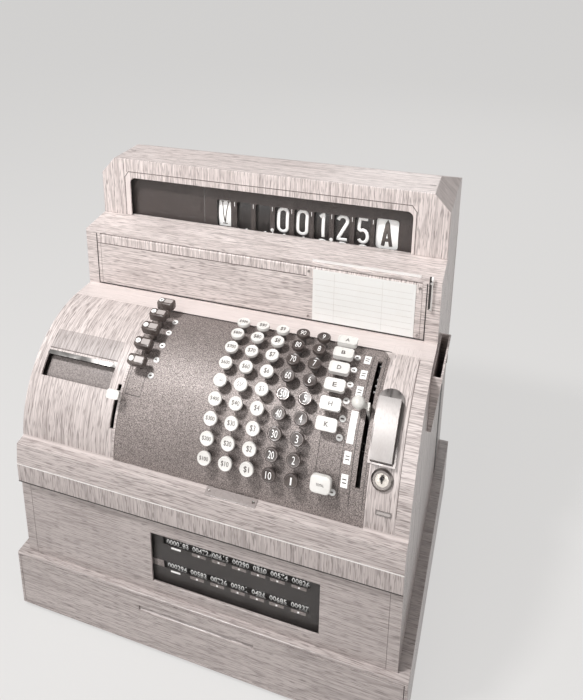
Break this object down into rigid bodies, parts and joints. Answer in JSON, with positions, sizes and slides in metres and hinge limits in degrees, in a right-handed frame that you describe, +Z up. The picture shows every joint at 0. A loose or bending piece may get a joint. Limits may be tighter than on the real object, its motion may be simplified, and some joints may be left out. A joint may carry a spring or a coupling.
{
  "type": "cash register",
  "caption": "Wood-grain key-driven cash register: curved keyboard, figure wheels under a hood, hinged printer lid, side lever, motor bar and cash drawer.",
  "frame": {"origin": "middle of the footprint, on the surface the feet stand on", "axes": "+X to the right seen from the operator, +Y from the keyboard to the back, +Z up"},
  "size_m": [0.504, 0.418, 0.5595],
  "materials": {
    "wood_print": "printed wood grain, satin",
    "wood_shelf": "printed wood grain, polished",
    "plate_paint": "speckled crackle paint",
    "white_key": "polished",
    "mixed_keys": "polished",
    "clerk_cap": "satin with bright edge",
    "steel": "brushed",
    "chrome": "polished",
    "brass_core": "polished",
    "ivory_knob": "polished",
    "glass": "clear",
    "black_box": "matt",
    "wheel_black": "satin",
    "counter_white": "satin",
    "frame_grey": "satin",
    "drawer_metal": "printed wood grain, satin",
    "tray": "matt",
    "rubber": "matt",
    "card": "paper",
    "paper": "paper"
  },
  "bodies": {
    "case": {"drawer_case": "wood_print", "rubber_feet": "rubber", "base_pan": "frame_grey", "cabinet": "wood_print", "front_panel": "wood_print", "totals_glass": "glass", "rear_cover": "wood_print", "side_frames": "frame_grey", "frame_shafts": "steel", "key_plate": "plate_paint", "key_guide": "frame_grey", "motor_bar_bezel": "frame_grey", "lock_bezel": "chrome", "slip_guide": "chrome", "hood": "wood_print", "indicator_glass": "glass", "indicator_mask": "black_box", "slip_pocket": "wood_print"},
    "key_row_1": {"amount_keys_row_1": "mixed_keys"},
    "key_row_2": {"amount_keys_row_2": "mixed_keys"},
    "key_row_3": {"amount_keys_row_3": "mixed_keys"},
    "key_row_4": {"amount_keys_row_4": "mixed_keys"},
    "key_row_5": {"amount_keys_row_5": "mixed_keys"},
    "key_row_6": {"amount_keys_row_6": "mixed_keys"},
    "key_row_7": {"amount_keys_row_7": "mixed_keys"},
    "key_row_8": {"amount_keys_row_8": "mixed_keys"},
    "key_row_9": {"amount_keys_row_9": "mixed_keys"},
    "dept_key_a": {"dept_key_a": "white_key"},
    "dept_key_b": {"dept_key_b": "white_key"},
    "dept_key_d": {"dept_key_d": "white_key"},
    "dept_key_e": {"dept_key_e": "white_key"},
    "dept_key_h": {"dept_key_h": "white_key"},
    "dept_key_k": {"dept_key_k": "white_key"},
    "total_key": {"total_key": "white_key"},
    "clerk_key_1": {"clerk_key_1": "clerk_cap"},
    "clerk_key_2": {"clerk_key_2": "clerk_cap"},
    "clerk_key_3": {"clerk_key_3": "clerk_cap"},
    "clerk_key_4": {"clerk_key_4": "clerk_cap"},
    "clerk_key_5": {"clerk_key_5": "clerk_cap"},
    "motor_bar": {"motor_bar": "steel"},
    "control_lever": {"control_lever": "ivory_knob"},
    "receipt_lever": {"receipt_lever": "ivory_knob"},
    "lock_cylinder": {"lock_cylinder": "brass_core"},
    "printer_lid": {"printer_lid": "wood_print", "price_card": "card"},
    "journal_roll": {"journal_roll": "paper"},
    "flag_wheel": {"flag_wheel": "wheel_black"},
    "figure_wheel_1": {"figure_wheel_1": "wheel_black"},
    "figure_wheel_2": {"figure_wheel_2": "wheel_black"},
    "figure_wheel_3": {"figure_wheel_3": "wheel_black"},
    "figure_wheel_4": {"figure_wheel_4": "wheel_black"},
    "figure_wheel_5": {"figure_wheel_5": "wheel_black"},
    "figure_wheel_6": {"figure_wheel_6": "wheel_black"},
    "figure_wheel_7": {"figure_wheel_7": "wheel_black"},
    "letter_wheel": {"letter_wheel": "wheel_black"},
    "upper_counter": {"upper_counter": "counter_white"},
    "lower_counter": {"lower_counter": "counter_white"},
    "cash_drawer": {"cash_drawer": "drawer_metal", "till_tray": "tray"},
    "note_clips": {"note_clips": "steel"}
  },
  "joints": [
    {"name": "press_row_1", "type": "slide", "parent": "case", "child": "key_row_1", "axis": [0, 0.9361, -0.3518], "range_m": [0, 0.0045], "stiffness_N_per_m": 400, "springref_m": -0.003},
    {"name": "press_row_2", "type": "slide", "parent": "case", "child": "key_row_2", "axis": [0, 0.878, -0.4787], "range_m": [0, 0.0045], "stiffness_N_per_m": 400, "springref_m": -0.003},
    {"name": "press_row_3", "type": "slide", "parent": "case", "child": "key_row_3", "axis": [0, 0.8028, -0.5962], "range_m": [0, 0.0045], "stiffness_N_per_m": 400, "springref_m": -0.003},
    {"name": "press_row_4", "type": "slide", "parent": "case", "child": "key_row_4", "axis": [0, 0.712, -0.7022], "range_m": [0, 0.0045], "stiffness_N_per_m": 400, "springref_m": -0.003},
    {"name": "press_row_5", "type": "slide", "parent": "case", "child": "key_row_5", "axis": [0, 0.6074, -0.7944], "range_m": [0, 0.0045], "stiffness_N_per_m": 400, "springref_m": -0.003},
    {"name": "press_row_6", "type": "slide", "parent": "case", "child": "key_row_6", "axis": [0, 0.4909, -0.8712], "range_m": [0, 0.0045], "stiffness_N_per_m": 400, "springref_m": -0.003},
    {"name": "press_row_7", "type": "slide", "parent": "case", "child": "key_row_7", "axis": [0, 0.3649, -0.9311], "range_m": [0, 0.0045], "stiffness_N_per_m": 400, "springref_m": -0.003},
    {"name": "press_row_8", "type": "slide", "parent": "case", "child": "key_row_8", "axis": [0, 0.2317, -0.9728], "range_m": [0, 0.0045], "stiffness_N_per_m": 400, "springref_m": -0.003},
    {"name": "press_row_9", "type": "slide", "parent": "case", "child": "key_row_9", "axis": [0, 0.0941, -0.9956], "range_m": [0, 0.0045], "stiffness_N_per_m": 400, "springref_m": -0.003},
    {"name": "press_dept_key_a", "type": "slide", "parent": "case", "child": "dept_key_a", "axis": [0, 0.0941, -0.9956], "range_m": [0, 0.0045], "stiffness_N_per_m": 400, "springref_m": -0.003},
    {"name": "press_dept_key_b", "type": "slide", "parent": "case", "child": "dept_key_b", "axis": [0, 0.2317, -0.9728], "range_m": [0, 0.0045], "stiffness_N_per_m": 400, "springref_m": -0.003},
    {"name": "press_dept_key_d", "type": "slide", "parent": "case", "child": "dept_key_d", "axis": [0, 0.3649, -0.9311], "range_m": [0, 0.0045], "stiffness_N_per_m": 400, "springref_m": -0.003},
    {"name": "press_dept_key_e", "type": "slide", "parent": "case", "child": "dept_key_e", "axis": [0, 0.4909, -0.8712], "range_m": [0, 0.0045], "stiffness_N_per_m": 400, "springref_m": -0.003},
    {"name": "press_dept_key_h", "type": "slide", "parent": "case", "child": "dept_key_h", "axis": [0, 0.6074, -0.7944], "range_m": [0, 0.0045], "stiffness_N_per_m": 400, "springref_m": -0.003},
    {"name": "press_dept_key_k", "type": "slide", "parent": "case", "child": "dept_key_k", "axis": [0, 0.712, -0.7022], "range_m": [0, 0.0045], "stiffness_N_per_m": 400, "springref_m": -0.003},
    {"name": "press_total_key", "type": "slide", "parent": "case", "child": "total_key", "axis": [0, 0.9252, -0.3795], "range_m": [0, 0.0045], "stiffness_N_per_m": 400, "springref_m": -0.003},
    {"name": "press_clerk_key_1", "type": "slide", "parent": "case", "child": "clerk_key_1", "axis": [0, 0.0941, -0.9956], "range_m": [0, 0.0045], "stiffness_N_per_m": 400, "springref_m": -0.003},
    {"name": "press_clerk_key_2", "type": "slide", "parent": "case", "child": "clerk_key_2", "axis": [0, 0.2317, -0.9728], "range_m": [0, 0.0045], "stiffness_N_per_m": 400, "springref_m": -0.003},
    {"name": "press_clerk_key_3", "type": "slide", "parent": "case", "child": "clerk_key_3", "axis": [0, 0.3649, -0.9311], "range_m": [0, 0.0045], "stiffness_N_per_m": 400, "springref_m": -0.003},
    {"name": "press_clerk_key_4", "type": "slide", "parent": "case", "child": "clerk_key_4", "axis": [0, 0.4909, -0.8712], "range_m": [0, 0.0045], "stiffness_N_per_m": 400, "springref_m": -0.003},
    {"name": "press_clerk_key_5", "type": "slide", "parent": "case", "child": "clerk_key_5", "axis": [0, 0.6074, -0.7944], "range_m": [0, 0.0045], "stiffness_N_per_m": 400, "springref_m": -0.003},
    {"name": "press_motor_bar", "type": "slide", "parent": "case", "child": "motor_bar", "axis": [0, 0.6665, -0.7455], "range_m": [0, 0.0035], "stiffness_N_per_m": 900, "springref_m": -0.003},
    {"name": "control_lever_turn", "type": "hinge", "parent": "case", "child": "control_lever", "pos_m": [0.1815, -0.045, 0.245], "axis": [1, 0, 0], "range_deg": [-22, 26]},
    {"name": "receipt_lever_turn", "type": "hinge", "parent": "case", "child": "receipt_lever", "pos_m": [-0.115, -0.045, 0.245], "axis": [1, 0, 0], "range_deg": [0, 12], "stiffness_Nm_per_rad": 1.5, "springref_deg": -20.05},
    {"name": "lock_turn", "type": "hinge", "parent": "case", "child": "lock_cylinder", "pos_m": [0.206, -0.17064, 0.3135], "axis": [0, -0.878, 0.4787], "range_deg": [-90, 90]},
    {"name": "lid_swing", "type": "hinge", "parent": "case", "child": "printer_lid", "pos_m": [0, -0.0085, 0.463], "axis": [-1, 0, 0], "range_deg": [0, 85]},
    {"name": "journal_roll_turn", "type": "hinge", "parent": "case", "child": "journal_roll", "pos_m": [0.12, 0.037, 0.427], "axis": [1, 0, 0], "continuous": true},
    {"name": "flag_wheel_turn", "type": "hinge", "parent": "case", "child": "flag_wheel", "pos_m": [-0.0602, 0.117, 0.488], "axis": [1, 0, 0], "continuous": true},
    {"name": "figure_wheel_1_turn", "type": "hinge", "parent": "case", "child": "figure_wheel_1", "pos_m": [-0.0293, 0.117, 0.488], "axis": [1, 0, 0], "continuous": true},
    {"name": "figure_wheel_2_turn", "type": "hinge", "parent": "case", "child": "figure_wheel_2", "pos_m": [-0.0025, 0.117, 0.488], "axis": [1, 0, 0], "continuous": true},
    {"name": "figure_wheel_3_turn", "type": "hinge", "parent": "case", "child": "figure_wheel_3", "pos_m": [0.0243, 0.117, 0.488], "axis": [1, 0, 0], "continuous": true},
    {"name": "figure_wheel_4_turn", "type": "hinge", "parent": "case", "child": "figure_wheel_4", "pos_m": [0.0511, 0.117, 0.488], "axis": [1, 0, 0], "continuous": true},
    {"name": "figure_wheel_5_turn", "type": "hinge", "parent": "case", "child": "figure_wheel_5", "pos_m": [0.0779, 0.117, 0.488], "axis": [1, 0, 0], "continuous": true},
    {"name": "figure_wheel_6_turn", "type": "hinge", "parent": "case", "child": "figure_wheel_6", "pos_m": [0.1047, 0.117, 0.488], "axis": [1, 0, 0], "continuous": true},
    {"name": "figure_wheel_7_turn", "type": "hinge", "parent": "case", "child": "figure_wheel_7", "pos_m": [0.1315, 0.117, 0.488], "axis": [1, 0, 0], "continuous": true},
    {"name": "letter_wheel_turn", "type": "hinge", "parent": "case", "child": "letter_wheel", "pos_m": [0.1644, 0.117, 0.488], "axis": [1, 0, 0], "continuous": true},
    {"name": "upper_counter_turn", "type": "hinge", "parent": "case", "child": "upper_counter", "pos_m": [0.046, -0.174, 0.161], "axis": [1, 0, 0], "continuous": true},
    {"name": "lower_counter_turn", "type": "hinge", "parent": "case", "child": "lower_counter", "pos_m": [0.046, -0.174, 0.125], "axis": [1, 0, 0], "continuous": true},
    {"name": "drawer_slide", "type": "slide", "parent": "case", "child": "cash_drawer", "axis": [0, -1, 0], "range_m": [0, 0.32]},
    {"name": "note_clips_lift", "type": "hinge", "parent": "cash_drawer", "child": "note_clips", "pos_m": [0, 0.1065, 0.073], "axis": [-1, 0, 0], "range_deg": [0, 60]}
  ]
}
